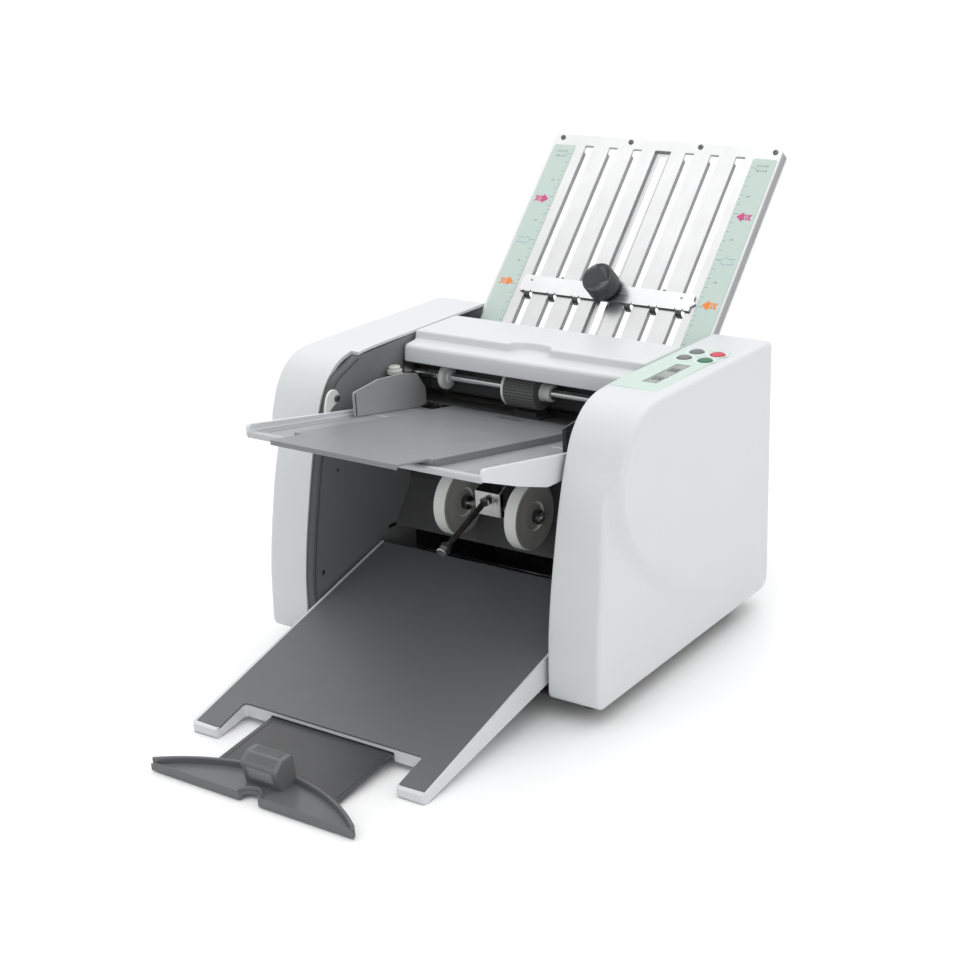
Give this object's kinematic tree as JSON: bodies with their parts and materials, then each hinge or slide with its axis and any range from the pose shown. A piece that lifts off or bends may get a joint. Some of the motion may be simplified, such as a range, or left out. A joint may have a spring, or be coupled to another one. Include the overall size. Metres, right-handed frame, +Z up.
{
  "type": "paper folding machine",
  "caption": "Desk machine that feeds sheets by a rubber roller, folds them with rollers and slotted fold plates, and stacks them on a front tray.",
  "frame": {"origin": "middle of the overall outline, on the plane the machine stands on", "axes": "+Z up, +X to the machine's right, +Y to the back, away from the operator"},
  "size_m": [0.3592, 0.6431, 0.3805],
  "materials": {
    "dark_steel": "black painted sheet steel",
    "bronze": "sintered bronze",
    "button_grey": "grey key cap",
    "button_green": "green key cap",
    "button_red": "red key cap",
    "board_green": "green circuit board",
    "scale_mint": "printed mint film",
    "table_white": "fine satin white plastic",
    "display_grey": "grey display window",
    "rubber_black": "matt black rubber",
    "collar_white": "pale acetal plastic",
    "shaft_chrome": "ground and chromed",
    "roller_rubber": "ground grey rubber on steel",
    "screw_ivory": "ivory moulded plastic",
    "panel_grey": "fine-grained dark grey plastic",
    "plate_alu": "brushed aluminium",
    "knob_grey": "ribbed dark grey plastic",
    "motor_steel": "rolled steel can",
    "rod_steel": "bright drawn steel",
    "screw_steel": "zinc-plated",
    "guide_dark": "dark grey plastic",
    "stop_grey": "moulded grey plastic",
    "inlet_black": "black moulded plastic",
    "cover_white": "satin off-white powder coat",
    "frame_steel": "zinc-plated sheet steel",
    "guide_alu": "brushed aluminium sheet",
    "rod_dark": "blackened steel",
    "wheel_pale": "pale grey-green elastomer",
    "deck_grey": "smooth grey paint",
    "extension_grey": "dark grey paint"
  },
  "bodies": {
    "chassis": {"base_plate": "dark_steel", "rubber_feet": "rubber_black", "side_frame_left": "frame_steel", "side_frame_right": "frame_steel", "inner_panel_left": "panel_grey", "inner_panel_right": "panel_grey", "side_cover_left": "cover_white", "side_cover_right": "cover_white", "bearings": "bronze", "tie_rods": "rod_steel", "rear_panel": "dark_steel", "power_inlet": "inlet_black", "paper_separator": "guide_dark", "paper_guides": "dark_steel", "motor": "motor_steel", "drive_belt": "rubber_black", "plate_carriers": "dark_steel", "control_overlay": "scale_mint", "display_window": "display_grey", "circuit_board": "board_green", "panel_screws": "screw_steel"},
    "lid": {"top_cover": "cover_white"},
    "table": {"feed_table": "table_white", "table_plate": "deck_grey"},
    "guide_left": {"side_guide_left": "guide_alu"},
    "guide_right": {"side_guide_right": "guide_dark"},
    "screw_left": {"guide_screw_left": "screw_ivory"},
    "screw_right": {"guide_screw_right": "screw_ivory"},
    "lever": {"release_lever": "collar_white"},
    "feed_spindle": {"feed_shaft": "shaft_chrome", "feed_roller": "rubber_black", "feed_collars": "collar_white"},
    "roller_1": {"fold_roller_1": "roller_rubber"},
    "roller_2": {"fold_roller_2": "roller_rubber"},
    "roller_3": {"fold_roller_3": "roller_rubber"},
    "roller_4": {"fold_roller_4": "roller_rubber"},
    "motor_spindle": {"motor_pulley": "rod_steel"},
    "upper_plate": {"upper_fold_plate": "plate_alu", "scale_strips": "scale_mint", "plate_screws": "screw_steel"},
    "upper_stop": {"upper_stop_bar": "plate_alu"},
    "upper_knob": {"upper_stop_knob": "knob_grey"},
    "lower_plate": {"lower_fold_plate": "plate_alu"},
    "lower_stop": {"lower_stop_bar": "plate_alu"},
    "lower_knob": {"lower_stop_knob": "knob_grey"},
    "stacker_drive": {"stacker_drive_shaft": "shaft_chrome"},
    "stacker_arm": {"stacker_bracket": "frame_steel", "stacker_rod": "rod_dark", "stacker_belt": "rubber_black"},
    "stacker_axle": {"stacker_wheel_shaft": "shaft_chrome", "stacker_wheels": "wheel_pale"},
    "tray": {"delivery_tray": "table_white", "tray_surface": "panel_grey"},
    "extension": {"tray_extension": "extension_grey"},
    "stop": {"paper_stop": "stop_grey"},
    "button_up": {"button_up": "button_grey"},
    "button_down": {"button_down": "button_grey"},
    "button_stop": {"button_stop": "button_red"},
    "button_start": {"button_start": "button_green"},
    "rocker": {"power_switch": "inlet_black"}
  },
  "joints": [
    {"name": "lid_hinge", "type": "hinge", "parent": "chassis", "child": "lid", "pos_m": [0, 0.1265, 0.2385], "axis": [-1, 0, 0], "range_deg": [0, 85]},
    {"name": "table_tilt", "type": "hinge", "parent": "chassis", "child": "table", "pos_m": [0, -0.042, 0.1985], "axis": [-1, 0, 0], "range_deg": [0, 4]},
    {"name": "guide_left_slide", "type": "slide", "parent": "table", "child": "guide_left", "axis": [1, 0, 0], "range_m": [0, 0.034]},
    {"name": "guide_right_slide", "type": "slide", "parent": "table", "child": "guide_right", "axis": [-1, 0, 0], "range_m": [0, 0.034]},
    {"name": "guide_screw_left_turn", "type": "hinge", "parent": "guide_left", "child": "screw_left", "pos_m": [-0.1143, 0.0314, 0.2195], "axis": [0, 0, 1], "range_deg": [0, 180]},
    {"name": "guide_screw_right_turn", "type": "hinge", "parent": "guide_right", "child": "screw_right", "pos_m": [0.1143, 0.0314, 0.2195], "axis": [0, 0, 1], "range_deg": [0, 180]},
    {"name": "release_lever_turn", "type": "hinge", "parent": "chassis", "child": "lever", "pos_m": [-0.12, -0.0435, 0.2195], "axis": [-1, 0, 0], "range_deg": [0, 40]},
    {"name": "roller_2_spin", "type": "hinge", "parent": "chassis", "child": "roller_2", "pos_m": [0, 0.1055, 0.1682], "axis": [1, 0, 0], "continuous": true},
    {"name": "roller_1_spin", "type": "hinge", "parent": "chassis", "child": "roller_1", "pos_m": [0, 0.11052, 0.19402], "axis": [1, 0, 0], "continuous": true},
    {"name": "roller_3_spin", "type": "hinge", "parent": "chassis", "child": "roller_3", "pos_m": [0, 0.1317, 0.17049], "axis": [1, 0, 0], "continuous": true},
    {"name": "roller_4_spin", "type": "hinge", "parent": "chassis", "child": "roller_4", "pos_m": [0, 0.11007, 0.1423], "axis": [1, 0, 0], "continuous": true},
    {"name": "feed_spin", "type": "hinge", "parent": "chassis", "child": "feed_spindle", "pos_m": [0, 0.0712, 0.21012], "axis": [1, 0, 0], "continuous": true},
    {"name": "motor_spin", "type": "hinge", "parent": "chassis", "child": "motor_spindle", "pos_m": [0, 0.144, 0.0505], "axis": [1, 0, 0], "continuous": true},
    {"name": "stacker_drive_spin", "type": "hinge", "parent": "chassis", "child": "stacker_drive", "pos_m": [0, 0.07256, 0.15451], "axis": [1, 0, 0], "continuous": true},
    {"name": "stacker_arm_lift", "type": "hinge", "parent": "chassis", "child": "stacker_arm", "pos_m": [0, 0.07256, 0.15451], "axis": [-1, 0, 0], "range_deg": [0, 15]},
    {"name": "stacker_wheel_spin", "type": "hinge", "parent": "stacker_arm", "child": "stacker_axle", "pos_m": [0, 0.011, 0.1215], "axis": [1, 0, 0], "continuous": true},
    {"name": "upper_plate_slide", "type": "slide", "parent": "chassis", "child": "upper_plate", "axis": [0, 0.7053, 0.709], "range_m": [0, 0.06]},
    {"name": "upper_stop_slide", "type": "slide", "parent": "upper_plate", "child": "upper_stop", "axis": [0, 0.7053, 0.709], "range_m": [-0.028, 0.135]},
    {"name": "upper_knob_turn", "type": "hinge", "parent": "upper_stop", "child": "upper_knob", "pos_m": [0.0013, 0.20095, 0.26685], "axis": [0, -0.709, 0.7053], "range_deg": [0, 270]},
    {"name": "lower_plate_slide", "type": "slide", "parent": "chassis", "child": "lower_plate", "axis": [0, 0.766, -0.6428], "range_m": [0, 0.05]},
    {"name": "lower_stop_slide", "type": "slide", "parent": "lower_plate", "child": "lower_stop", "axis": [0, 0.766, -0.6428], "range_m": [-0.034, 0.012]},
    {"name": "lower_knob_turn", "type": "hinge", "parent": "lower_stop", "child": "lower_knob", "pos_m": [0, 0.20757, 0.08401], "axis": [0, 0.6428, 0.766], "range_deg": [0, 270]},
    {"name": "tray_lift", "type": "hinge", "parent": "chassis", "child": "tray", "pos_m": [0, -0.01, 0.0585], "axis": [-1, 0, 0], "range_deg": [0, 12]},
    {"name": "extension_slide", "type": "slide", "parent": "tray", "child": "extension", "axis": [0, 0.9945, 0.1045], "range_m": [0, 0.034]},
    {"name": "paper_stop_slide", "type": "slide", "parent": "extension", "child": "stop", "axis": [0, 0.9945, 0.1045], "range_m": [0, 0.014]},
    {"name": "button_up_press", "type": "slide", "parent": "chassis", "child": "button_up", "axis": [0, 0, -1], "range_m": [0, 0.001], "stiffness_N_per_m": 400, "springref_m": -0.0012},
    {"name": "button_down_press", "type": "slide", "parent": "chassis", "child": "button_down", "axis": [0, 0, -1], "range_m": [0, 0.001], "stiffness_N_per_m": 400, "springref_m": -0.0012},
    {"name": "button_stop_press", "type": "slide", "parent": "chassis", "child": "button_stop", "axis": [0, 0, -1], "range_m": [0, 0.001], "stiffness_N_per_m": 400, "springref_m": -0.0012},
    {"name": "button_start_press", "type": "slide", "parent": "chassis", "child": "button_start", "axis": [0, 0, -1], "range_m": [0, 0.001], "stiffness_N_per_m": 400, "springref_m": -0.0012},
    {"name": "power_rocker", "type": "hinge", "parent": "chassis", "child": "rocker", "pos_m": [0.1055, 0.1719, 0.0405], "axis": [1, 0, 0], "range_deg": [-5, 5]}
  ],
  "couplings": [
    {"joint": "roller_1_spin", "follows": "roller_2_spin", "ratio": -1},
    {"joint": "roller_3_spin", "follows": "roller_2_spin", "ratio": -1},
    {"joint": "roller_4_spin", "follows": "roller_2_spin", "ratio": -1},
    {"joint": "feed_spin", "follows": "roller_2_spin", "ratio": 0.44828},
    {"joint": "stacker_drive_spin", "follows": "roller_2_spin", "ratio": 0.5},
    {"joint": "stacker_wheel_spin", "follows": "roller_2_spin", "ratio": 0.5},
    {"joint": "motor_spin", "follows": "roller_2_spin", "ratio": 2.4444},
    {"joint": "release_lever_turn", "follows": "table_tilt", "ratio": 10}
  ]
}
